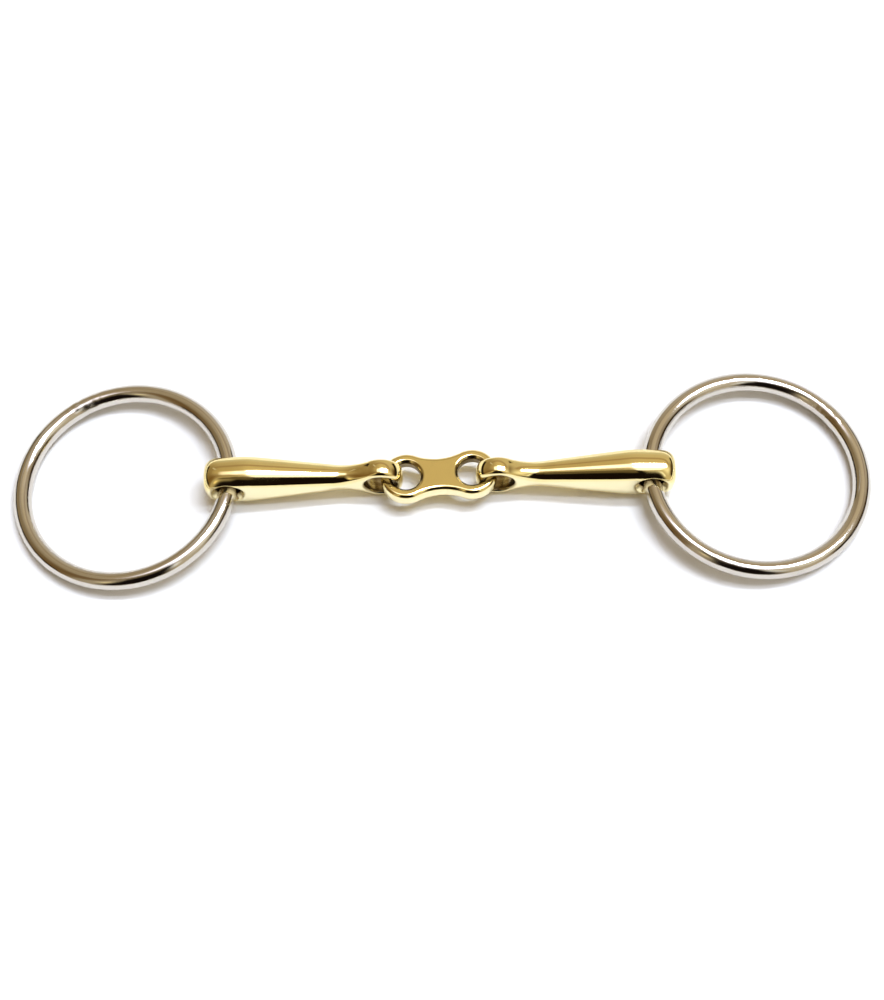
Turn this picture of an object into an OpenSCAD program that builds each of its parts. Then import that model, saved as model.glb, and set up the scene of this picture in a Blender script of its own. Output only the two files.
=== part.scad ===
// Loose ring snaffle bit with a French link, lying on a flat surface.
// X runs along the mouthpiece, Y points away from the viewer, and Z is the height above the surface.
// The bit comes apart into two rings, two cannons and the link that joins the cannons in the middle.

/* [Mouthpiece] */
// Distance between the two ring holes, which is the bit's nominal size
mouth_length = 139.7; // [127:0.1:152.4]
// Largest diameter of a cannon, beside its ring hole
butt_d = 16; // [15.6:0.1:18]
// Thickness of a cannon between the flats around its ring hole
butt_thickness = 10.7; // [9.5:0.1:12]
// Length of a cannon past the middle of its ring hole
butt_overhang = 7.5; // [7:0.1:9]
// Radius that rounds a cannon's outer end, seen from the front
butt_round = 6; // [5:0.1:7]
// Radius that rounds the corners of a cannon's outer end, seen from above
butt_corner = 4; // [2:0.1:5]
// Distance inside the ring hole over which the two flats stay parallel
flat_run = 6; // [5:0.5:12]
// Smallest diameter of a cannon, at its waist
waist_d = 7.5; // [6.5:0.1:9]
// Radius of the hollow that runs from the waist up to the eye
waist_blend = 18; // [12:0.5:24]

/* [Eyes] */
// Outside diameter of the eye at a cannon's inner end
eye_d = 15.6; // [15.2:0.1:16]
// Diameter of the hole through an eye
eye_hole_d = 10.6; // [10:0.1:11]
// Thickness of an eye between its flats
eye_thickness = 5; // [4:0.1:6]
// Radius that rounds the corners of an eye's tip, seen from above
eye_corner = 1.9; // [1:0.1:1.9]
// Radius that rounds the mouths of an eye's hole
eye_lip = 1.2; // [0.8:0.1:1.6]

/* [French link] */
// Distance between the link's two holes
link_spacing = 21.8; // [20:0.1:26]
// Diameter of the link's round ends
link_end_d = 16.4; // [16:0.1:17.4]
// Diameter of the link's holes
link_hole_d = 9.6; // [9.2:0.1:10]
// Width of the link across its waist
link_waist = 10.3; // [8:0.1:12]
// Thickness of the link
link_thickness = 5; // [4.4:0.1:5.4]
// Radius that rounds the link's outer edges
link_edge = 1.9; // [1:0.1:2.1]
// Radius that rounds the mouths of the link's holes
link_lip = 1.2; // [0.8:0.1:1.4]
// Angle by which the link lies turned between the two eyes
link_turn = 3.5; // [-5:0.5:5]

/* [Rings] */
// Outside diameter of a ring
ring_d = 76; // [60:0.5:90]
// Diameter of the bar that a ring is bent from
bar_d = 6; // [5:0.1:6.5]
// Radius that rounds the mouths of a ring hole
ring_lip = 1.8; // [1:0.1:2]

/* [Play] */
// Room all round a ring's bar in its hole
ring_play = 0.8; // [0.6:0.05:0.9]
// Room along the mouthpiece between an eye's hole and the rim of the link's hole
eye_play = 1.7; // [1.3:0.1:2]
// Room under the link where it rests in the eyes
seat_play = 0.45; // [0.4:0.05:0.6]

/* [Hidden] */
$fn = 96;
STEEL = [0.74, 0.72, 0.69];
GOLD = [0.80, 0.63, 0.30];

// Every cannon lies with its thick end on the surface, so its centre line runs at this height.
axis_z = butt_d / 2;
// Room that a cutter takes beyond the faces it cuts through
cut_over = 2;
// Depth by which a cannon's plan cuts back the ends of its turned shape
end_trim = 0.2;

// Ring: the bar's centre line passes through the middle of the ring hole,
// and the far side of the ring dips until it touches the surface.
ring_x = mouth_length / 2;
ring_r = (ring_d - bar_d) / 2;
ring_hole_r = bar_d / 2 + ring_play;
ring_tilt = asin((axis_z - bar_d / 2) / (2 * ring_r));

// Link: the eye's tip stands inside the link's hole, next to the rim.
link_x = link_spacing / 2;
link_end_r = link_end_d / 2;
link_hole_r = link_hole_d / 2;
eye_r = eye_d / 2;
eye_hole_r = eye_hole_d / 2;
eye_x = link_x + link_hole_r - eye_play + eye_hole_r;

// The link sinks in the eyes until a rounded lower edge of its rim comes near the hole's wall.
// Both edges are tried where the straight part of the eye's hole ends.
seat_y = eye_thickness / 2 - eye_lip + abs(sin(link_turn)) * link_x;
function seat_drop(edge_x, edge_r) =
    sqrt(pow(eye_hole_r - edge_r - seat_play, 2) - pow(eye_x - edge_x, 2)) + edge_r;
inner_seat = seat_drop(link_x + sqrt(pow(link_hole_r, 2) - pow(seat_y, 2)) + link_lip, link_lip);
outer_seat = seat_drop(link_x + sqrt(pow(link_end_r, 2) - pow(seat_y, 2)) - link_edge, link_edge);
link_z = axis_z - min(inner_seat, outer_seat) + link_thickness / 2;

// Link outline: each side of the waist is an arc that touches both round ends.
scoop_r = (pow(link_x, 2) + pow(link_waist / 2, 2) - pow(link_end_r, 2)) / (link_end_d - link_waist);
scoop_y = link_waist / 2 + scoop_r;

// Cannon outline, as points of radius and distance from the bit's middle. A circle rounds the butt,
// a hollow circle makes the waist and touches the eye, and the taper is the line that touches both.
butt_centre = [butt_d / 2 - butt_round, ring_x + butt_overhang + end_trim - butt_round];
waist_r = waist_d / 2 + waist_blend;
waist_centre = [waist_r, eye_x + sqrt(pow(eye_r + waist_blend, 2) - pow(waist_r, 2))];
taper_line = waist_centre - butt_centre;
taper_angle = atan2(taper_line[1], taper_line[0]) + acos((butt_round + waist_blend) / norm(taper_line));
taper_normal = [cos(taper_angle), sin(taper_angle)];
eye_centre = [0, eye_x];
eye_touch = eye_centre + (waist_centre - eye_centre) * eye_r / (eye_r + waist_blend);

// A round cutter whose two mouths flare out in a quarter circle to meet the faces of what it cuts.
module flared_cutter(r, thickness, lip) {
    straight = thickness - 2 * lip;
    rotate_extrude()
    difference() {
        translate([0, -thickness / 2 - cut_over])
        square([r + lip, thickness + 2 * cut_over]);
        for (side = [-1, 1])
            translate([r + lip, side * straight / 2])
            circle(lip);
        translate([r, -straight / 2])
        square([lip, straight]);
    }
}

// A disc with rounded rims.
module round_disc(r, thickness, edge) {
    straight = thickness - 2 * edge;
    rotate_extrude()
    union() {
        translate([0, -thickness / 2])
        square([r - edge, thickness]);
        translate([0, -straight / 2])
        square([r, straight]);
        for (side = [-1, 1])
            intersection() {
                translate([r - edge, side * straight / 2])
                circle(edge);
                translate([0, -thickness / 2])
                square([r, thickness]);
            }
    }
}

module link_web() {
    difference() {
        linear_extrude(link_thickness, center = true)
        polygon([[-link_x, 0], [0, scoop_y], [link_x, 0], [0, -scoop_y]]);
        for (side = [-1, 1])
            translate([0, side * scoop_y, 0])
            flared_cutter(scoop_r, link_thickness, link_edge);
    }
}

module french_link() {
    color(GOLD)
    translate([0, 0, link_z])
    rotate([0, 0, link_turn])
    difference() {
        union() {
            link_web();
            for (side = [-1, 1])
                translate([side * link_x, 0, 0])
                round_disc(link_end_r, link_thickness, link_edge);
        }
        for (side = [-1, 1])
            translate([side * link_x, 0, 0])
            flared_cutter(link_hole_r, link_thickness, link_lip);
    }
}

// Half of the cannon's lengthwise section, to be turned about its centre line.
module cannon_section() {
    difference() {
        union() {
            translate(butt_centre)
            circle(butt_round);
            translate([0, butt_centre[1]])
            square([butt_centre[0], butt_round]);
            polygon([
                eye_centre,
                eye_touch,
                waist_centre,
                waist_centre - waist_blend * taper_normal,
                butt_centre + butt_round * taper_normal,
                [0, butt_centre[1]]
            ]);
            translate(eye_centre)
            circle(eye_r);
        }
        translate(waist_centre)
        circle(waist_blend);
        translate([-butt_d, 0])
        square([butt_d, mouth_length]);
    }
}

// What is left over beside a rounded corner, with the rounding's centre at the origin.
module corner_waste(r) {
    difference() {
        square(r + cut_over);
        circle(r);
    }
}

// Plan of the cannon, seen from above: thick round the ring hole and drawn in to a thin eye.
module cannon_plan() {
    tip = eye_x - eye_r + end_trim;
    end = ring_x + butt_overhang;
    far_side = [
        [tip, eye_thickness / 2],
        [eye_x + eye_r, eye_thickness / 2],
        [ring_x - flat_run, butt_thickness / 2],
        [end, butt_thickness / 2]
    ];
    near_side = [for (i = [len(far_side) - 1:-1:0]) [far_side[i][0], -far_side[i][1]]];
    difference() {
        polygon(concat(far_side, near_side));
        for (side = [0, 1])
            mirror([0, side]) {
                translate([end - butt_corner, butt_thickness / 2 - butt_corner])
                corner_waste(butt_corner);
                translate([tip + eye_corner, eye_thickness / 2 - eye_corner])
                mirror([1, 0])
                corner_waste(eye_corner);
            }
    }
}

module cannon() {
    color(GOLD)
    translate([0, 0, axis_z])
    difference() {
        intersection() {
            rotate([0, 90, 0])
            rotate_extrude()
            cannon_section();
            linear_extrude(2 * butt_d, center = true)
            cannon_plan();
        }
        translate([ring_x, 0, 0])
        rotate([90, 0, 0])
        flared_cutter(ring_hole_r, butt_thickness, ring_lip);
        translate([eye_x, 0, 0])
        rotate([90, 0, 0])
        flared_cutter(eye_hole_r, eye_thickness, eye_lip);
    }
}

module ring() {
    color(STEEL)
    translate([ring_x, 0, axis_z])
    rotate([0, ring_tilt, 0])
    translate([ring_r, 0, 0])
    rotate_extrude()
    translate([ring_r, 0])
    circle(bar_d / 2);
}

module right_cannon() {
    cannon();
}

module left_cannon() {
    mirror([1, 0, 0])
    cannon();
}

module right_ring() {
    ring();
}

module left_ring() {
    mirror([1, 0, 0])
    ring();
}

french_link();
left_cannon();
right_cannon();
left_ring();
right_ring();
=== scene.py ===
# %% [markdown]
# # A loose ring snaffle bit with a French link
# The bit lies on a pale table. Two steel rings run free in the thick ends of two golden arms, which
# riders call cannons, and a flat figure-eight link joins the cannons' eyes in the middle. The solids
# already hold every size and every joint. This lesson gives each piece the soft edges and the polish of
# the real one, in the same frame and in metres.

# %% Load the solids as a fixed frame
import math

import bpy
from mathutils import Matrix, Vector


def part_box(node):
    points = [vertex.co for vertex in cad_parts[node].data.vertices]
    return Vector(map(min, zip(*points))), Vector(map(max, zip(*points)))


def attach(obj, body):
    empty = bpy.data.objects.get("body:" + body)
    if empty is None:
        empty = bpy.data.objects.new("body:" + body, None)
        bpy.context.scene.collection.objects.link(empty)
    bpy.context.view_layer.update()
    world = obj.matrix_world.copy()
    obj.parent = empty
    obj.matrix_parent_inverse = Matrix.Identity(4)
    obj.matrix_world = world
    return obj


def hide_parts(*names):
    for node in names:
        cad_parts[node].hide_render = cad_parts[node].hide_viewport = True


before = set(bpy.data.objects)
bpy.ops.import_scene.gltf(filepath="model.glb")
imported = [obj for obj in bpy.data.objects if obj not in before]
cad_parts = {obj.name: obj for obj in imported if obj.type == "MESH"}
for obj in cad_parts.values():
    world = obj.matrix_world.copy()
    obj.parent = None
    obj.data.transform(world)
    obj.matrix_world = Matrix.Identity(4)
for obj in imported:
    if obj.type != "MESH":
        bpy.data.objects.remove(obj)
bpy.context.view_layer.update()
scene = bpy.context.scene
MM = 0.001


# %% [markdown]
# ## The camera
# The two rings are true circles, so their outlines in the photograph give the place, the aim and the
# lens. The camera stands over half a metre away, looks down at about 63 degrees and leans a little to one
# side. The sensor's 36 mm span the longer side of the picture, which is its height.

# %% Place the camera
CAMERA_AT = Vector((0.015603, -0.275751, 0.540362))
CAMERA_AIM = Vector((0.000639, -0.004929, 0.0))
CAMERA_LEAN = math.radians(-3.848)
CAMERA_LENS, CAMERA_SENSOR = 65.27, 36.0

lens = bpy.data.cameras.new("table_camera")
lens.lens = CAMERA_LENS
lens.sensor_width = CAMERA_SENSOR
lens.clip_start = 0.01
lens.clip_end = 20.0
camera = bpy.data.objects.new("table_camera", lens)
scene.collection.objects.link(camera)
scene.camera = camera
look = CAMERA_AIM - CAMERA_AT
aim = look.to_track_quat("-Z", "Y").to_matrix().to_4x4()
camera.matrix_world = Matrix.Translation(CAMERA_AT) @ aim @ Matrix.Rotation(CAMERA_LEAN, 4, "Z")
down = math.degrees(math.asin(-look.normalized().z))
print(f"camera {look.length:.3f} m from its aim, looking down at {down:.1f} degrees")

# %% [markdown]
# ## Shapes from rules
# A cannon is a turned shape cut by two flats, with two holes. Every edge of the real one has been
# softened on a polishing wheel, and a bevel on a cut-up mesh would show in the reflections. So the shape
# is written as a rule: a number at each point in space that is below zero inside the metal. Math nodes
# work it out in millimetres. The small class below lets such a chain of nodes read like a formula.

# %% A number that changes from point to point
def plug(tree, value, socket):
    """Joins a rule or a node's output to a socket, or sets the socket to a plain value."""
    source = value.socket if isinstance(value, Rule) else value
    if isinstance(source, bpy.types.NodeSocket):
        tree.links.new(source, socket)
    else:
        socket.default_value = source


class Rule:
    """A number that changes from point to point, as the output of a chain of Math nodes."""

    def __init__(self, tree, socket):
        self.tree = tree
        self.socket = socket

    def math(self, operation, *others):
        node = self.tree.nodes.new("ShaderNodeMath")
        node.operation = operation
        for socket, value in zip(node.inputs, (self, *others)):
            plug(self.tree, value, socket)
        return Rule(self.tree, node.outputs[0])

    def __add__(self, other):
        return self.math("ADD", other)

    def __sub__(self, other):
        return self.math("SUBTRACT", other)

    def __mul__(self, other):
        return self.math("MULTIPLY", other)

    def __truediv__(self, other):
        return self.math("DIVIDE", other)

    def __neg__(self):
        return self.math("MULTIPLY", -1.0)

    def __abs__(self):
        return self.math("ABSOLUTE")


# %% Words for the rules
def larger(a, b):
    return a.math("MAXIMUM", b)


def smaller(a, b):
    return a.math("MINIMUM", b)


def reach(a, b):
    """The length of a line that goes a one way and b square to it."""
    return (a * a + b * b).math("SQRT")


def pick(test, yes, no):
    """One rule where test is above zero, and the other elsewhere."""
    node = test.tree.nodes.new("GeometryNodeSwitch")
    node.input_type = "FLOAT"
    plug(test.tree, test.math("GREATER_THAN", 0.0), node.inputs["Switch"])
    plug(test.tree, yes, node.inputs["True"])
    plug(test.tree, no, node.inputs["False"])
    return Rule(test.tree, node.outputs[0])


def round_meet(a, b, radius):
    """What two shapes share, with the edge between them rounded to a radius."""
    corner = reach(larger(a + radius, 0.0), larger(b + radius, 0.0))
    return smaller(larger(a, b), -radius) + corner


def ease(value):
    """Goes softly from 0 to 1 while value goes from 0 to 1."""
    t = value.math("ADD", 0.0)
    t.socket.node.use_clamp = True
    return t * t * (t * -2.0 + 3.0)


def fade(distance, per_mm):
    """Goes softly from 1 at a distance of zero to 0, at a pace of per_mm for each millimetre."""
    return ease(distance * -per_mm + 1.0)


# %% [markdown]
# ## From a rule to a mesh
# Volume Cube fills a block of fine cells with the rule, and Volume to Mesh finds the skin where it is
# zero. Each point of that skin is still off by part of a cell, which polish would show. So it is moved
# along the rule's steepest way until it lies on the surface, and the reflections then run as smoothly as
# on polished metal. The tree carries the piece's sizes as named inputs, and hands them to every copy of
# the rule.

# %% Groups with named sizes
# The marks carry a painted highlight along the creases, wear and painted shade in the holes, and a painted
# reflection of the table on the flats
MARKS = ("Crease", "Hole_wear_and_shade", "Painted_sheen")


def new_group(name, sizes, extra_in=(), outputs=()):
    """An empty geometry group whose inputs are extra_in and then one number for each size."""
    group = bpy.data.node_groups.new(name, "GeometryNodeTree")
    for label, kind in extra_in:
        group.interface.new_socket(label, in_out="INPUT", socket_type=kind)
    for label in sizes:
        group.interface.new_socket(label, in_out="INPUT", socket_type="NodeSocketFloat")
    for label, kind in outputs:
        group.interface.new_socket(label, in_out="OUTPUT", socket_type=kind)
    return group, group.nodes.new("NodeGroupInput"), group.nodes.new("NodeGroupOutput")


def start_rule(name, sizes):
    """A rule's group, its output node, its sizes by name, the point's coordinates in mm, and the point."""
    outputs = [(label, "NodeSocketFloat") for label in ("Depth", *MARKS)]
    group, ins, outs = new_group(name, sizes, [("Point", "NodeSocketVector")], outputs)
    size = {label: Rule(group, ins.outputs[label]) for label in sizes}
    split = group.nodes.new("ShaderNodeSeparateXYZ")
    group.links.new(ins.outputs["Point"], split.inputs[0])
    return group, outs, size, [Rule(group, s) for s in split.outputs], ins.outputs["Point"]


# %% Noise, and the waves that polishing leaves
# How fast the waves of a polished surface follow one another
WAVES_PER_MM = 0.085


def noise_node(tree, vector, scale, detail, roughness=0.5):
    node = tree.nodes.new("ShaderNodeTexNoise")
    plug(tree, vector, node.inputs["Vector"])
    plug(tree, scale, node.inputs["Scale"])
    node.inputs["Detail"].default_value = detail
    node.inputs["Roughness"].default_value = roughness
    return node.outputs[0]


def either_way(tree, vector, scale):
    """Gentle noise that goes up and down round zero."""
    return Rule(tree, noise_node(tree, vector, scale, detail=1.0)) - 0.5


# %% Ask a rule at a point
# Distance to the neighbours that show how steep a rule is, in mm
STEP = 0.02


def vector_math(tree, operation, a, b):
    node = tree.nodes.new("ShaderNodeVectorMath")
    node.operation = operation
    for socket, value in zip(node.inputs, (a, b)):
        plug(tree, value, socket)
    return node.outputs["Value" if operation == "DOT_PRODUCT" else "Vector"]


def scaled(tree, vector, factor):
    """A vector times a number or a rule."""
    node = tree.nodes.new("ShaderNodeVectorMath")
    node.operation = "SCALE"
    plug(tree, vector, node.inputs[0])
    plug(tree, factor, node.inputs["Scale"])
    return node.outputs["Vector"]


def rule_here(tree, ins, rule, sizes, point):
    """A copy of the rule's group, asked at a point in mm."""
    node = tree.nodes.new("GeometryNodeGroup")
    node.node_tree = rule
    tree.links.new(point, node.inputs["Point"])
    for label in sizes:
        tree.links.new(ins.outputs[label], node.inputs[label])
    return node


def steepest_way(tree, ins, rule, sizes, point):
    """The direction in which the rule grows, from six neighbours of the point."""
    merge = tree.nodes.new("ShaderNodeCombineXYZ")
    for axis in range(3):
        shift = [STEP if i == axis else 0.0 for i in range(3)]
        ahead = rule_here(tree, ins, rule, sizes, vector_math(tree, "ADD", point, shift))
        behind = rule_here(tree, ins, rule, sizes, vector_math(tree, "SUBTRACT", point, shift))
        rise = Rule(tree, ahead.outputs["Depth"]) - Rule(tree, behind.outputs["Depth"])
        plug(tree, rise / (2 * STEP), merge.inputs[axis])
    return merge.outputs[0]


# %% Move a skin onto its surface
def position_mm(tree):
    return scaled(tree, tree.nodes.new("GeometryNodeInputPosition").outputs[0], 1 / MM)


def push(tree, skin, offset):
    """Moves every point of a skin by a vector in metres."""
    node = tree.nodes.new("GeometryNodeSetPosition")
    tree.links.new(skin, node.inputs["Geometry"])
    tree.links.new(offset, node.inputs["Offset"])
    return node.outputs["Geometry"]


def onto_surface(tree, ins, rule, sizes, skin):
    """Moves every point of a skin to where the rule is zero."""
    point = position_mm(tree)
    depth = Rule(tree, rule_here(tree, ins, rule, sizes, point).outputs["Depth"])
    way = steepest_way(tree, ins, rule, sizes, point)
    steep = Rule(tree, vector_math(tree, "DOT_PRODUCT", way, way))
    return push(tree, skin, scaled(tree, way, depth / steep * -MM))


# %% Marks and material at the end of a tree
def store(tree, skin, name, value, kind="FLOAT"):
    """Keeps a value at every point of a skin, for the finish to read."""
    node = tree.nodes.new("GeometryNodeStoreNamedAttribute")
    node.data_type = kind
    node.domain = "POINT"
    node.inputs["Name"].default_value = name
    tree.links.new(skin, node.inputs["Geometry"])
    plug(tree, value, node.inputs["Value"])
    return node.outputs["Geometry"]


def end_tree(tree, ins, outs, skin):
    """Every tree ends in Realize Instances and Set Material."""
    real = tree.nodes.new("GeometryNodeRealizeInstances")
    tree.links.new(skin, real.inputs["Geometry"])
    smooth = tree.nodes.new("GeometryNodeSetShadeSmooth")
    tree.links.new(real.outputs["Geometry"], smooth.inputs["Geometry"])
    finish = tree.nodes.new("GeometryNodeSetMaterial")
    tree.links.new(smooth.outputs["Geometry"], finish.inputs["Geometry"])
    tree.links.new(ins.outputs["Finish"], finish.inputs["Material"])
    tree.links.new(finish.outputs["Geometry"], outs.inputs["Piece"])


# %% The tree that skins a rule
SKIN_LEVEL = 1.0
SETTLING_ROUNDS = 3


def skin_tree(name, rule, sizes):
    """A tree that turns a rule into a smooth skin between two corners of a block."""
    corners = [("Block low", "NodeSocketVector"), ("Block high", "NodeSocketVector")]
    cells = [(f"Cells {axis}", "NodeSocketInt") for axis in "XYZ"]
    extra = [("Finish", "NodeSocketMaterial"), *corners, *cells]
    tree, ins, outs = new_group(name, sizes, extra, [("Piece", "NodeSocketGeometry")])
    block = tree.nodes.new("GeometryNodeVolumeCube")
    depth = Rule(tree, rule_here(tree, ins, rule, sizes, position_mm(tree)).outputs["Depth"])
    plug(tree, -depth + SKIN_LEVEL, block.inputs["Density"])
    tree.links.new(ins.outputs["Block low"], block.inputs["Min"])
    tree.links.new(ins.outputs["Block high"], block.inputs["Max"])
    for axis in "XYZ":
        tree.links.new(ins.outputs[f"Cells {axis}"], block.inputs[f"Resolution {axis}"])
    skin = tree.nodes.new("GeometryNodeVolumeToMesh")
    skin.inputs["Threshold"].default_value = SKIN_LEVEL
    tree.links.new(block.outputs[0], skin.inputs["Volume"])
    shape = skin.outputs[0]
    for _ in range(SETTLING_ROUNDS):
        shape = onto_surface(tree, ins, rule, sizes, shape)
    here = rule_here(tree, ins, rule, sizes, position_mm(tree))
    for mark in MARKS:
        shape = store(tree, shape, mark.lower(), here.outputs[mark])
    end_tree(tree, ins, outs, shape)
    return tree


# %% Run a tree and keep its mesh
def set_inputs(modifier, tree, values):
    """Sets a modifier's inputs by their sockets' identifiers."""
    for item in tree.interface.items_tree:
        if item.item_type == "SOCKET" and item.in_out == "INPUT" and item.name in values:
            modifier[item.identifier] = values[item.name]


def make_piece(name, tree, values):
    """Runs a tree once and keeps its result as a plain mesh at the origin."""
    maker = bpy.data.objects.new(name + "_maker", bpy.data.meshes.new(name + "_maker"))
    scene.collection.objects.link(maker)
    modifier = maker.modifiers.new("tree", "NODES")
    modifier.node_group = tree
    set_inputs(modifier, tree, values)
    bpy.context.view_layer.update()
    graph = bpy.context.evaluated_depsgraph_get()
    ready = maker.evaluated_get(graph)
    mesh = bpy.data.meshes.new_from_object(ready, preserve_all_data_layers=True, depsgraph=graph)
    maker.modifiers.remove(modifier)
    bpy.data.objects.remove(maker)
    mesh.name = name
    piece = bpy.data.objects.new(name, mesh)
    scene.collection.objects.link(piece)
    return piece


def report(piece, node):
    """Prints a piece's triangles and how far its box is from its solid's box, in mm."""
    low = [min(v.co[i] for v in piece.data.vertices) for i in range(3)]
    high = [max(v.co[i] for v in piece.data.vertices) for i in range(3)]
    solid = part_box(node)
    off = [round((a - b) / MM, 2) for a, b in zip([*low, *high], [*solid[0], *solid[1]])]
    tris = sum(len(p.vertices) - 2 for p in piece.data.polygons)
    print(f"{piece.name}: {tris} triangles, box off by {off} mm")


# %% [markdown]
# ## Finishes: shared marks
# Polished metal is never bare of marks. Fingers leave a thin film that blurs the shine in patches,
# polishing leaves hairlines, and casting and bending leave a few pin-sized pits. They could be painted as
# pictures, but noise that is worked out from the place on the piece stays sharp at any distance. Both
# finishes use these marks, so each is a group that is built once and placed in a material with its own
# values.

# %% Helpers for the groups
def shader_group(name, inputs, outputs):
    """An empty shader group. Its inputs are names with a starting value, or with None for a vector."""
    group = bpy.data.node_groups.new(name, "ShaderNodeTree")
    for label, value in inputs:
        kind = "NodeSocketFloat" if isinstance(value, float) else "NodeSocketVector"
        socket = group.interface.new_socket(label, in_out="INPUT", socket_type=kind)
        if value is not None:
            socket.default_value = value
    for label in outputs:
        group.interface.new_socket(label, in_out="OUTPUT", socket_type="NodeSocketFloat")
    return group, group.nodes.new("NodeGroupInput"), group.nodes.new("NodeGroupOutput")


def ramp(tree, value, low, high):
    """Goes softly from 0 to 1 while value goes from low to high."""
    node = tree.nodes.new("ShaderNodeMapRange")
    node.interpolation_type = "SMOOTHSTEP"
    node.inputs["From Min"].default_value = low
    node.inputs["From Max"].default_value = high
    plug(tree, value, node.inputs["Value"])
    return node.outputs["Result"]


# %% Finger film and hairlines
finger_film, ins, outs = shader_group("finger_film", [("Vector", None), ("Scale", 90.0)], ["Film"])
smudges = noise_node(finger_film, ins.outputs["Vector"], ins.outputs["Scale"], detail=5.0, roughness=0.62)
finger_film.links.new(ramp(finger_film, smudges, low=0.47, high=0.68), outs.inputs["Film"])

hairlines, ins, outs = shader_group(
    "hairlines", [("Vector", None), ("Stretch", (1.0, 1.0, 1.0))], ["Height", "Blur"])
stretched = vector_math(hairlines, "MULTIPLY", ins.outputs["Vector"], ins.outputs["Stretch"])
scratches = noise_node(hairlines, stretched, 1.0, detail=3.0, roughness=0.7)
hairlines.links.new(scratches, outs.inputs["Height"])
hairlines.links.new(ramp(hairlines, scratches, low=0.52, high=0.72), outs.inputs["Blur"])
print("shader groups:", finger_film.name, hairlines.name)

# %% Pin pits
pin_pits, ins, outs = shader_group(
    "pin_pits", [("Vector", None), ("Scale", 200.0), ("Size", 0.05), ("Share", 0.3)], ["Pit"])
cells = pin_pits.nodes.new("ShaderNodeTexVoronoi")
pin_pits.links.new(ins.outputs["Vector"], cells.inputs["Vector"])
pin_pits.links.new(ins.outputs["Scale"], cells.inputs["Scale"])
lots = pin_pits.nodes.new("ShaderNodeSeparateColor")
pin_pits.links.new(cells.outputs["Color"], lots.inputs[0])
size = Rule(pin_pits, ins.outputs["Size"]) * Rule(pin_pits, lots.outputs[1])
round_pit = (size - Rule(pin_pits, cells.outputs["Distance"])) / size
round_pit.socket.node.use_clamp = True
kept = Rule(pin_pits, lots.outputs[0]).math("LESS_THAN", Rule(pin_pits, ins.outputs["Share"]))
plug(pin_pits, round_pit * kept, outs.inputs["Pit"])
print("shader group:", pin_pits.name)

# %% [markdown]
# ## The golden alloy and the steel
# Both are fully metallic. The alloy of copper that such mouthpieces are cast from is a warm pale gold: it
# turns the white of the table to cream and dull light to tan. The flats, the link's sides and the creases
# are
# painted paler, a painted reflection of the bright table. In the holes the colour is dull and dark brown:
# partly wear where the pieces work on each other, and partly painted shade. The rings are grey steel with
# hairlines that follow the bar, and a little duller at the weld. One colour with an even roughness would
# look like plastic, so the marks vary both, and tiny changes of height go through a Bump node.

# %% Helpers for a finish
def mix_colour(tree, factor, a, b):
    """Goes from a to b while factor goes from 0 to 1. Each is a colour, or the output of a node."""
    node = tree.nodes.new("ShaderNodeMix")
    node.data_type = "RGBA"
    colour_sockets = [s for s in node.inputs if s.type == "RGBA"]
    for socket, value in zip(colour_sockets, (a, b)):
        plug(tree, (*value, 1.0) if isinstance(value, tuple) else value, socket)
    plug(tree, factor, node.inputs["Factor"])
    return next(s for s in node.outputs if s.type == "RGBA")


def place(tree, group, **values):
    """A copy of a shared group, with its own values."""
    node = tree.nodes.new("ShaderNodeGroup")
    node.node_tree = group
    for label, value in values.items():
        plug(tree, value, node.inputs[label])
    return node


def attribute(tree, name, kind="Fac"):
    node = tree.nodes.new("ShaderNodeAttribute")
    node.attribute_name = name
    return node.outputs[kind]


def new_finish(name):
    """A metallic material, its nodes, its shader and the place on the piece."""
    finish = bpy.data.materials.new(name)
    finish.use_nodes = True
    tree = finish.node_tree
    shader = tree.nodes["Principled BSDF"]
    shader.inputs["Metallic"].default_value = 1.0
    spot = tree.nodes.new("ShaderNodeTexCoord").outputs["Object"]
    return finish, tree, shader, spot


def add_bump(tree, shader, height, depth_mm, strength):
    bump = tree.nodes.new("ShaderNodeBump")
    bump.inputs["Strength"].default_value = strength
    bump.inputs["Distance"].default_value = depth_mm * MM
    plug(tree, height, bump.inputs["Height"])
    tree.links.new(bump.outputs[0], shader.inputs["Normal"])


# %% The golden alloy
GOLD = (0.95, 0.79, 0.37)
# The paler gold is a painted reflection of the bright table, laid on the flats, the link's sides and the
# creases
GOLD_PAINTED_SHEEN = (0.97, 0.88, 0.56)
# The dark gold is partly wear and partly painted shade in the holes, and it also darkens pits and finger
# film
GOLD_DULL_AND_SHADE = (0.16, 0.11, 0.055)
gold, tree, shader, spot = new_finish("golden_alloy")
film = Rule(tree, place(tree, finger_film, Vector=spot, Scale=95.0).outputs["Film"])
lines = place(tree, hairlines, Vector=spot, Stretch=(160.0, 2600.0, 2600.0))
blur = Rule(tree, lines.outputs["Blur"])
pits = Rule(tree, place(tree, pin_pits, Vector=spot, Scale=230.0, Size=0.045, Share=0.16).outputs["Pit"])
crease, hole_wear_and_shade_mask, painted_sheen_mask = (Rule(tree, attribute(tree, mark.lower())) for mark in MARKS)
painted_sheen_mask = painted_sheen_mask * (-hole_wear_and_shade_mask + 1.0)
# Wear and painted shade in the holes, and darker pits and film
tone = mix_colour(tree, hole_wear_and_shade_mask * 0.9 + film * 0.05 + pits * 0.4, GOLD, GOLD_DULL_AND_SHADE)
# Painted reflection of the table on the flats and the link's sides, and a painted highlight along the
# creases
tone = mix_colour(tree, painted_sheen_mask * 0.85 + crease * 0.15, tone, GOLD_PAINTED_SHEEN)
tree.links.new(tone, shader.inputs["Base Color"])
plug(tree, film * 0.05 + blur * 0.03 + hole_wear_and_shade_mask * 0.14 + pits * 0.3 + 0.045, shader.inputs["Roughness"])
height = Rule(tree, lines.outputs["Height"]) - pits * 2.5
add_bump(tree, shader, height, depth_mm=0.012, strength=0.16)
print("finish:", gold.name)

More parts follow.
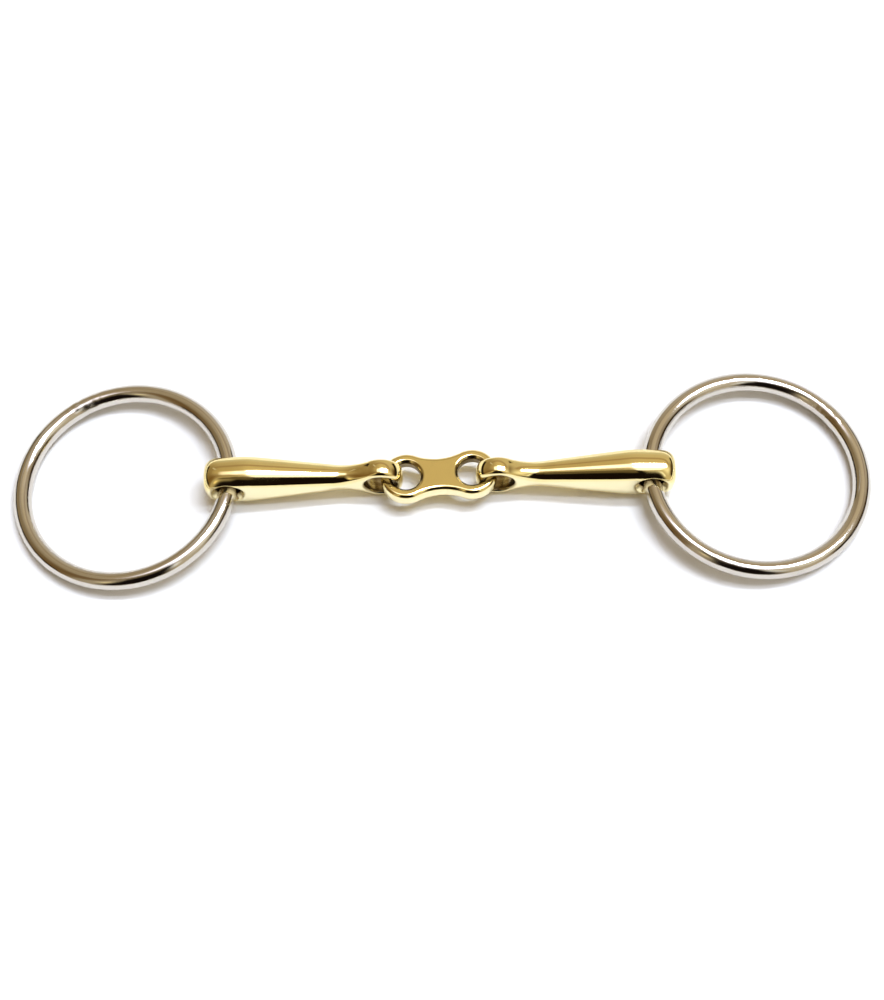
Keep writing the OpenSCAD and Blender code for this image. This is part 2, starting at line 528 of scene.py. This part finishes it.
# %% The steel of the rings
STEEL = (0.68, 0.64, 0.58)
STEEL_DULL = (0.40, 0.36, 0.31)
steel, tree, shader, spot = new_finish("ring_steel")
bar_place = tree.nodes.new("ShaderNodeCombineXYZ")
around = tree.nodes.new("ShaderNodeSeparateXYZ")
tree.links.new(attribute(tree, "around", "Vector"), around.inputs[0])
tree.links.new(attribute(tree, "along"), bar_place.inputs[0])
tree.links.new(around.outputs[0], bar_place.inputs[1])
tree.links.new(around.outputs[1], bar_place.inputs[2])
film = Rule(tree, place(tree, finger_film, Vector=spot, Scale=70.0).outputs["Film"])
lines = place(tree, hairlines, Vector=bar_place.outputs[0], Stretch=(70.0, 1700.0, 1700.0))
blur = Rule(tree, lines.outputs["Blur"])
pits = Rule(tree, place(tree, pin_pits, Vector=spot, Scale=260.0, Size=0.09, Share=0.3).outputs["Pit"])
weld = Rule(tree, attribute(tree, "weld"))
tone = mix_colour(tree, film * 0.12 + pits * 0.6, STEEL, STEEL_DULL)
tree.links.new(tone, shader.inputs["Base Color"])
plug(tree, film * 0.07 + blur * 0.05 + pits * 0.3 + weld * 0.03 + 0.07, shader.inputs["Roughness"])
height = Rule(tree, lines.outputs["Height"]) - pits * 0.7
add_bump(tree, shader, height, depth_mm=0.07, strength=0.4)
print("finish:", steel.name)

# %% [markdown]
# ## The cannons
# A cannon could be made by turning a profile, cutting the flats with a boolean and bevelling the edges,
# but the crease fades out at both ends and a bevel can't. The rule gives it directly. Seen along its
# length the shape is a row of four simple forms, each touching the next: a ball for the eye, a hollow
# ring for the waist, a cone, and a butt that swells like a barrel and turns in tightly at its end. The
# flats are a second outline, and the two share their space with a rounding that is tight along the arm's
# top and soft below and at the eye. The mouths of the ring hole are countersunk, and those of the eye's
# hole are rounded.

# %% Sizes of a cannon, in mm
RING_X, AXIS_Z = 69.85, 8.0
EYE_X, EYE_R = 19.3, 7.8
WAIST_R, WAIST_H = 18.0, 22.25
BUTT_R, BUTT_H, BUTT_X = 4.0, 4.1, 73.9
CONE_X = 64.0
WAIST_X = EYE_X + math.sqrt((EYE_R + WAIST_R) ** 2 - WAIST_H ** 2)
span = math.hypot(WAIST_X - CONE_X, WAIST_H - BUTT_H)
TAPER = math.atan2(CONE_X - WAIST_X, WAIST_H - BUTT_H) - math.acos((BUTT_R + WAIST_R) / span)

cannon_sizes = {
    "Side": 1.0, "Axis height": AXIS_Z,
    "Eye X": EYE_X, "Eye radius": EYE_R, "Eye hole radius": 5.3, "Eye hole lip": 1.2,
    "Waist X": WAIST_X, "Waist height": WAIST_H, "Waist radius": WAIST_R,
    "Taper": TAPER, "Cone X": CONE_X,
    "Butt X": BUTT_X, "Butt height": BUTT_H, "Butt radius": BUTT_R, "End ease": 6.0,
    "Ring hole X": RING_X, "Ring hole radius": 3.8, "Ring hole lip": 0.5,
    "Mouth depth": 2.0, "Mouth flare": 0.9,
    "Butt half": 5.7, "Eye half": 3.4, "Flat start": 28.5, "Flat slope": 0.07,
    "Outer end": 77.7, "Tip": 11.7, "Outer corner": 2.6, "Tip corner": 2.4,
    "Crown": 1.0, "Barrel": 0.06, "Arm edge": 0.4, "Low edge": 1.2, "Eye edge": 1.2, "Waves": 0.05,
}
print(f"taper {math.degrees(TAPER):.2f} degrees, waist at {WAIST_X:.2f} mm")

# %% The turned shape of a cannon
cannon_rule, outs, size, (px, py, pz), point = start_rule("cannon_rule", cannon_sizes)
x = px * size["Side"]
z = pz - size["Axis height"]
r = reach(py, z)
from_eye, from_waist, from_butt = (x - size[k] for k in ("Eye X", "Waist X", "Butt X"))
above_waist, above_butt = r - size["Waist height"], r - size["Butt height"]
lean_x = size["Taper"].math("COSINE")
lean_r = size["Taper"].math("SINE")

ball = reach(from_eye, r) - size["Eye radius"]
hollow = size["Waist radius"] - reach(from_waist, above_waist)
cone = above_butt * lean_x - (x - size["Cone X"]) * lean_r - size["Butt radius"]
barrel = above_butt + (x - size["Cone X"]) * size["Barrel"]
past_butt = from_butt.math("SMOOTH_MAX", 0.0, size["End ease"])
dome = reach(past_butt, larger(barrel, 0.0)) - size["Butt radius"]
crown = cone.math("SMOOTH_MAX", dome, size["Crown"])
past_hollow = from_waist * lean_x + above_waist * lean_r
at_eye = (size["Waist X"] - size["Eye X"]) * r - size["Waist height"] * from_eye
turned = pick(at_eye, ball, pick(past_hollow, crown, hollow))
print(len(cannon_rule.nodes), "nodes in the turned shape")

# %% Flats and ends of a cannon
FLAT_BLEND = 0.5
# The edges soften from here towards the eye, over this length.
SOFT_X, SOFT_RUN = 35.0, 11.0

ramp_up = (x - size["Flat start"]) * size["Flat slope"] + size["Eye half"]
half = ramp_up.math("SMOOTH_MAX", size["Eye half"], FLAT_BLEND)
half = half.math("SMOOTH_MIN", size["Butt half"], FLAT_BLEND)
flats = round_meet(abs(py) - half, x - size["Outer end"], size["Outer corner"])
flats = round_meet(flats, size["Tip"] - x, size["Tip corner"])
underneath = ease(z * -0.5 + 0.5)
near_eye = ease((-x + SOFT_X) / SOFT_RUN)
arm_edge = size["Arm edge"] + underneath * (size["Low edge"] - size["Arm edge"])
edge = arm_edge + near_eye * (size["Eye edge"] - arm_edge)
arm = round_meet(turned, flats, edge)
print(len(cannon_rule.nodes), "nodes with the flats and the ends")

# %% Holes and marks of a cannon
MOUTH_BLEND = 0.6
# A slanted wall grows faster than one per millimetre, and this slows it down again.
MOUTH_PACE = 0.8

ring_bore = reach(x - size["Ring hole X"], z)
eye_bore = reach(from_eye, z)
into_mouth = (abs(py) - size["Butt half"] + size["Mouth depth"]).math("SMOOTH_MAX", 0.0, MOUTH_BLEND)
ring_wall = (into_mouth * size["Mouth flare"] + size["Ring hole radius"] - ring_bore) * MOUTH_PACE
arm = round_meet(arm, ring_wall, size["Ring hole lip"])
arm = round_meet(arm, size["Eye hole radius"] - eye_bore, size["Eye hole lip"])
waves = either_way(cannon_rule, point, WAVES_PER_MM) * size["Waves"]
plug(cannon_rule, arm + waves, outs.inputs["Depth"])
in_ring_hole = fade(ring_bore - size["Ring hole radius"], per_mm=0.5)
in_eye_hole = fade(eye_bore - size["Eye hole radius"], per_mm=0.7)
# The crease mark carries a painted highlight along the crease
plug(cannon_rule, fade(abs(turned - flats), per_mm=1.6), outs.inputs["Crease"])
# Wear and painted shade in the holes of a cannon
plug(cannon_rule, larger(in_ring_hole, in_eye_hole), outs.inputs["Hole_wear_and_shade"])
# This mark paints the table's reflection on the flats
plug(cannon_rule, ease((flats - turned) * 1.5), outs.inputs["Painted_sheen"])
print(len(cannon_rule.nodes), "nodes in the cannon's rule")

# %% Skin both cannons
# A cell of the block, and the room round the solid, in mm
CELL, BLOCK_PAD = 0.2, 1.4


def block_around(node):
    """Corners of a block round a solid in metres, and its counts of cells."""
    low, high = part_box(node)
    low = Vector(v - BLOCK_PAD * MM for v in low)
    high = Vector(v + BLOCK_PAD * MM for v in high)
    counts = {f"Cells {axis}": round((b - a) / MM / CELL) for axis, a, b in zip("XYZ", low, high)}
    return {"Block low": low, "Block high": high, **counts}


cannon_tree = skin_tree("cannon_tree", cannon_rule, cannon_sizes)
for name, side in (("left_cannon", -1.0), ("right_cannon", 1.0)):
    values = {**cannon_sizes, **block_around(name), "Side": side, "Finish": gold}
    arm_piece = make_piece(name + "_polished", cannon_tree, values)
    report(arm_piece, name)
    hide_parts(name)
    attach(arm_piece, name)

# %% [markdown]
# ## The French link
# The link is a flat plate in the shape of an eight with two round holes. Its outline is four arcs that
# touch: a lobe at each end and a scoop on each side of the waist. A bevelled extrusion would come close,
# but the faces fall away softly towards the rim before the edge begins, and the holes are chamfered above
# and flare more widely below. So the plate is written as a rule too, and skinned by a tree of the same
# kind.

# %% Sizes of the link, in mm
LINK_X, LOBE_R, LINK_WAIST = 10.9, 8.5, 12.3
LINK_RAISE = 0.15
SCOOP_R = (LINK_X ** 2 + (LINK_WAIST / 2) ** 2 - LOBE_R ** 2) / (2 * LOBE_R - LINK_WAIST)
link_low, link_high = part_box("french_link")
link_sizes = {
    "Turn": math.radians(3.5), "Height": (link_low.z + link_high.z) / 2 / MM + LINK_RAISE,
    "Hole X": LINK_X, "Lobe radius": LOBE_R, "Hole radius": 4.8, "Hole lip": 0.15,
    "Upper mouth": 0.75, "Upper flare": 1.376, "Lower mouth": 2.7, "Lower flare": 0.65,
    "Scoop radius": SCOOP_R, "Scoop Y": LINK_WAIST / 2 + SCOOP_R,
    "Half thickness": 3.0, "Fullness": 0.21, "Full edge": 1.8,
    "Upper rim": 1.2, "Lower rim": 1.7, "Waves": 0.04,
}
print(f"scoops of {SCOOP_R:.2f} mm radius, link's middle {link_sizes['Height']:.2f} mm above the table")

# %% The plate of the link
link_rule, outs, size, (px, py, pz), point = start_rule("link_rule", link_sizes)
c, s = size["Turn"].math("COSINE"), size["Turn"].math("SINE")
x, y = abs(px * c + py * s), abs(py * c - px * s)
above = pz - size["Height"]
z = abs(above)
lobe = reach(x - size["Hole X"], y) - size["Lobe radius"]
scoop = size["Scoop radius"] - reach(x, y - size["Scoop Y"])
in_waist = size["Scoop Y"] * (size["Hole X"] - x) - size["Hole X"] * y
outline = pick(in_waist, scoop, lobe)
near_edge = larger(outline + size["Full edge"], 0.0)
fall = size["Fullness"] * (near_edge * near_edge)
rim = pick(above, size["Upper rim"], size["Lower rim"])
plate = round_meet(outline, z - size["Half thickness"] + fall, rim)
print(len(link_rule.nodes), "nodes in the plate")

# %% Holes and marks of the link
LINK_BLEND, LINK_PACE = 0.3, 0.65

bore = reach(x - size["Hole X"], y)
mouth = pick(above, size["Upper mouth"], size["Lower mouth"])
flare = pick(above, size["Upper flare"], size["Lower flare"])
into_mouth = (z - size["Half thickness"] + mouth).math("SMOOTH_MAX", 0.0, LINK_BLEND)
hole_wall = (into_mouth * flare + size["Hole radius"] - bore) * LINK_PACE
plate = round_meet(plate, hole_wall, size["Hole lip"])
waves = either_way(link_rule, point, WAVES_PER_MM) * size["Waves"]
plug(link_rule, plate + waves, outs.inputs["Depth"])
past_rim = outline - z + size["Half thickness"]
# The crease mark carries a painted highlight along the rim
plug(link_rule, fade(abs(past_rim), per_mm=0.8) * 0.5, outs.inputs["Crease"])
# Wear and painted shade in the link's holes
plug(link_rule, fade(bore - size["Hole radius"], per_mm=0.75), outs.inputs["Hole_wear_and_shade"])
# This mark paints the table's reflection on the link's sides
plug(link_rule, ease(past_rim * 0.8), outs.inputs["Painted_sheen"])
print(len(link_rule.nodes), "nodes in the link's rule")

# %% Skin the link
link_tree = skin_tree("link_tree", link_rule, link_sizes)
values = {**link_sizes, **block_around("french_link"), "Finish": gold}
link = make_piece("french_link_polished", link_tree, values)
report(link, "french_link")
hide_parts("french_link")
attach(link, "french_link")

# %% [markdown]
# ## The rings
# A ring is a length of round steel bar bent to a circle. A torus would have its shape, but a sweep is
# made as the ring is: Curve to Mesh carries a small circle round a large one, and each point knows how
# far along and round the bar it is, which the hairlines need. Bending and polishing leave the bar uneven
# by a few hundredths of a millimetre, which shows as gentle waves in its reflections, and a Noise Texture
# moves the points by that much. Where the bar's ends were welded and ground flush, a short stretch is
# more rippled. The seam of the sweep lies inside the cannon's hole.

# %% The path and the bar of a ring
RING_POINTS, BAR_POINTS = 420, 56
# The weld's ripples fade at this pace, from this level at its middle, in lengths of the weld.
WELD_PACE, WELD_START = 3.0, 1.8

ring_sizes = ["Ring radius", "Bar radius", "Uneven", "Weld at", "Weld length", "Weld ripple"]
extra = [("Finish", "NodeSocketMaterial"), ("Centre", "NodeSocketVector"), ("Turn", "NodeSocketVector")]
ring_tree, ins, outs = new_group("ring_tree", ring_sizes, extra, [("Piece", "NodeSocketGeometry")])
size = {label: Rule(ring_tree, ins.outputs[label]) for label in ring_sizes}


def circle(tree, radius, points):
    node = tree.nodes.new("GeometryNodeCurvePrimitiveCircle")
    node.inputs["Resolution"].default_value = points
    plug(tree, radius, node.inputs["Radius"])
    return node.outputs["Curve"]


along = Rule(ring_tree, ring_tree.nodes.new("GeometryNodeSplineParameter").outputs["Length"])
from_weld = abs(along - size["Weld at"]) / size["Weld length"]
path = store(ring_tree, circle(ring_tree, size["Ring radius"], RING_POINTS), "along", along)
path = store(ring_tree, path, "weld", ease(from_weld * -WELD_PACE + WELD_START))
where = ring_tree.nodes.new("GeometryNodeInputPosition").outputs[0]
bar = circle(ring_tree, size["Bar radius"], BAR_POINTS)
bar = store(ring_tree, bar, "around", where, "FLOAT_VECTOR")
print(RING_POINTS, "points along a ring and", BAR_POINTS, "round its bar")

# %% The sweep of a ring
WAVES_PER_M, RIPPLES_PER_M = 75.0, 460.0

sweep = ring_tree.nodes.new("GeometryNodeCurveToMesh")
ring_tree.links.new(path, sweep.inputs["Curve"])
ring_tree.links.new(bar, sweep.inputs["Profile Curve"])
weld = ring_tree.nodes.new("GeometryNodeInputNamedAttribute")
weld.inputs["Name"].default_value = "weld"
waves = either_way(ring_tree, where, WAVES_PER_M) * size["Uneven"]
ripples = either_way(ring_tree, where, RIPPLES_PER_M) * size["Weld ripple"]
uneven = waves + ripples * Rule(ring_tree, weld.outputs["Attribute"])
outwards = ring_tree.nodes.new("GeometryNodeInputNormal").outputs[0]
ring_skin = push(ring_tree, sweep.outputs[0], scaled(ring_tree, outwards, uneven))
settle = ring_tree.nodes.new("GeometryNodeTransform")
ring_tree.links.new(ring_skin, settle.inputs["Geometry"])
ring_tree.links.new(ins.outputs["Centre"], settle.inputs["Translation"])
ring_tree.links.new(ins.outputs["Turn"], settle.inputs["Rotation"])
end_tree(ring_tree, ins, outs, settle.outputs["Geometry"])
print(len(ring_tree.nodes), "nodes in the ring's tree")

# %% Sweep both rings
RING_R, BAR_R = 35.0, 3.0
tilt = math.asin((AXIS_Z - BAR_R) / (2 * RING_R))
# Each ring's node, its side, and how many degrees round the ring its weld lies
RINGS = (("left_ring", -1.0, 116.0), ("right_ring", 1.0, 221.0))
for name, side, weld_turn in RINGS:
    centre_x = side * (RING_X + RING_R * math.cos(tilt))
    centre = Vector((centre_x, 0.0, AXIS_Z - RING_R * math.sin(tilt)))
    values = {
        "Ring radius": RING_R * MM, "Bar radius": BAR_R * MM, "Uneven": 0.08 * MM,
        "Weld at": math.radians(weld_turn) * RING_R * MM,
        "Weld length": 14.0 * MM, "Weld ripple": 0.22 * MM,
        "Centre": centre * MM, "Turn": (0.0, -tilt, math.pi if side > 0 else 0.0),
        "Finish": steel,
    }
    ring_piece = make_piece(name + "_polished", ring_tree, values)
    report(ring_piece, name)
    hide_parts(name)
    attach(ring_piece, name)

# %% [markdown]
# ## The table and the light
# The bit lies on a white table under one ceiling lamp: a pale sheet with two long tubes behind it, one
# weaker than the other, and a dim end at the left. The tubes run from left to right, so edges along the
# mouthpiece throw crisp double shadows, and edges across it throw soft ones. Area lamps would light the
# table as well, but polished metal shows little but its surroundings and would be black between them. So
# the whole room is painted into the world by direction, one soft patch over another: pale walls behind,
# brown ones at the left, a dark opening at the front, low dark strips at both sides, and a white table
# that goes on to the horizon. The lamp is the brightest patch.

# %% The table
TABLE_HALF = 3.0
TABLE_WHITE = (0.97, 0.97, 0.97, 1.0)

corners = [(a * TABLE_HALF, b * TABLE_HALF, 0.0) for a, b in ((-1, -1), (1, -1), (1, 1), (-1, 1))]
table_mesh = bpy.data.meshes.new("table")
table_mesh.from_pydata(corners, [], [(0, 1, 2, 3)])
table = bpy.data.objects.new("table", table_mesh)
scene.collection.objects.link(table)
table_white = bpy.data.materials.new("table_white")
table_white.use_nodes = True
shader = table_white.node_tree.nodes["Principled BSDF"]
shader.inputs["Base Color"].default_value = TABLE_WHITE
shader.inputs["Roughness"].default_value = 0.9
shader.inputs["Specular IOR Level"].default_value = 0.0
table_mesh.materials.append(table_white)
print("table:", 2 * TABLE_HALF, "m wide")

# %% Words for painting the room
room = bpy.data.worlds.new("room")
scene.world = room
room.use_nodes = True
sky = room.node_tree
way = sky.nodes.new("ShaderNodeSeparateXYZ")
sky.links.new(sky.nodes.new("ShaderNodeTexCoord").outputs["Generated"], way.inputs[0])
dx, dy, dz = (Rule(sky, s) for s in way.outputs)
level = larger(reach(dx, dy), 1e-4)
climb = dz.math("ARCTAN2", level)


def within(value, half, soft):
    """1 where a distance is below half, 0 where it is above, with a soft edge."""
    return -Rule(sky, ramp(sky, value, half - soft, half + soft)) + 1.0


def patch(*degrees):
    """A soft patch of the room. Its turn goes to the right from the front, and its rise goes up."""
    turn, half_turn, rise, half_rise, soft = (math.radians(v) for v in degrees)
    aside = ((dx * math.sin(turn) - dy * math.cos(turn)) / level).math("ARCCOSINE")
    return within(aside, half_turn, soft) * within(abs(climb - rise), half_rise, soft)


# %% Paint the room
BACK = (0.61, 0.52, 0.36)
WHITE = (1.0, 1.0, 1.0)
TABLE_RISE, TABLE_SOFT = math.radians(4.2), math.radians(1.2)
patches = [
    # turn, half turn, rise, half rise, softness, colour
    (176, 30, -9, 23, 15, (0.66, 0.65, 0.63)),
    (180, 75, 46, 5, 4, (0.42, 0.31, 0.19)),
    (180, 75, 63, 12, 4, (0.64, 0.52, 0.32)),
    (-99, 62, 35, 29, 30, (0.31, 0.23, 0.12)),
    (-72, 21, 24, 51, 28, (0.18, 0.10, 0.03)),
    (91, 25, 10, 24, 14, (0.11, 0.06, 0.02)),
    (70, 19, 63, 27, 14, (1.03, 0.97, 0.79)),
    (30, 4, 47, 14, 5, (1.30, 1.30, 1.20)),
    (-40, 10, 36, 33, 4, (0.46, 0.38, 0.25)),
    (-33, 5, 45, 8, 6, (1.20, 1.00, 0.55)),
    (-1, 28, 40, 34, 8, (0.007, 0.004, 0.003)),
    (-16, 27, 67, 6, 4, (0.12, 0.09, 0.05)),
    (-141, 2.5, 47, 8, 3.5, (0.70, 0.66, 0.60)),
    (-100, 38, 11.5, 7.5, 3, (0.02, 0.012, 0.005)),
    (102, 36, 11.5, 7.5, 3, (0.02, 0.012, 0.005)),
]
shade = BACK
for *area, colour in patches:
    shade = mix_colour(sky, patch(*area), shade, colour)
shade = mix_colour(sky, within(climb, TABLE_RISE, TABLE_SOFT), shade, WHITE)
print(len(patches), "patches in the room")

# %% The lamp overhead
SHEET = (1.6, 1.6, 1.85)
DIM_END = (1.9, 1.85, 2.1)
# Each tube's place and its glow
TUBES = [(0.0, (19.0, 20.8, 23.8)), (0.22, (42.0, 46.0, 52.3))]
# Places on the lamp are slopes: 0 is straight up, and 1 leans 45 degrees to the right or to the back.
MIDDLE = 0.1
RIGHT_END, RIGHT_SLANT = 0.78, 1.2
DIM_LEFT, DIM_HALF = 0.27, 0.14
SHEET_BACK, SHEET_FRONT, FRONT_CORNER = 0.35, 0.32, 0.2
TUBE_LEFT, TUBE_HALF = 0.02, 0.035
LOWEST = 0.2

up = larger(dz, 0.05)
across, along = dx / up, dy / up
aside = abs(along - MIDDLE)
overhead = within(across + aside * RIGHT_SLANT, RIGHT_END, soft=0.06) * within(-dz, -LOWEST, soft=0.1)
dim_end = overhead * within(-across, DIM_LEFT, soft=0.08) * within(aside, DIM_HALF, soft=0.09)
shade = mix_colour(sky, dim_end, shade, DIM_END)
front_edge = along + across + FRONT_CORNER
sheet = overhead * within(-across, 0.0, soft=0.12) * within(along, SHEET_BACK, soft=0.05)
sheet = sheet * within(-front_edge, 0.0, soft=0.05) * within(-along, SHEET_FRONT, soft=0.05)
shade = mix_colour(sky, sheet, shade, SHEET)
for middle, glow in TUBES:
    tube = overhead * within(-across, -TUBE_LEFT, soft=0.06)
    tube = tube * within(abs(along - middle), TUBE_HALF, soft=0.01)
    shade = mix_colour(sky, tube, shade, glow)
sky.links.new(shade, sky.nodes["Background"].inputs["Color"])
print(len(TUBES), "tubes in the lamp")

# %% Picture settings and the end
scene.view_settings.view_transform = "Standard"
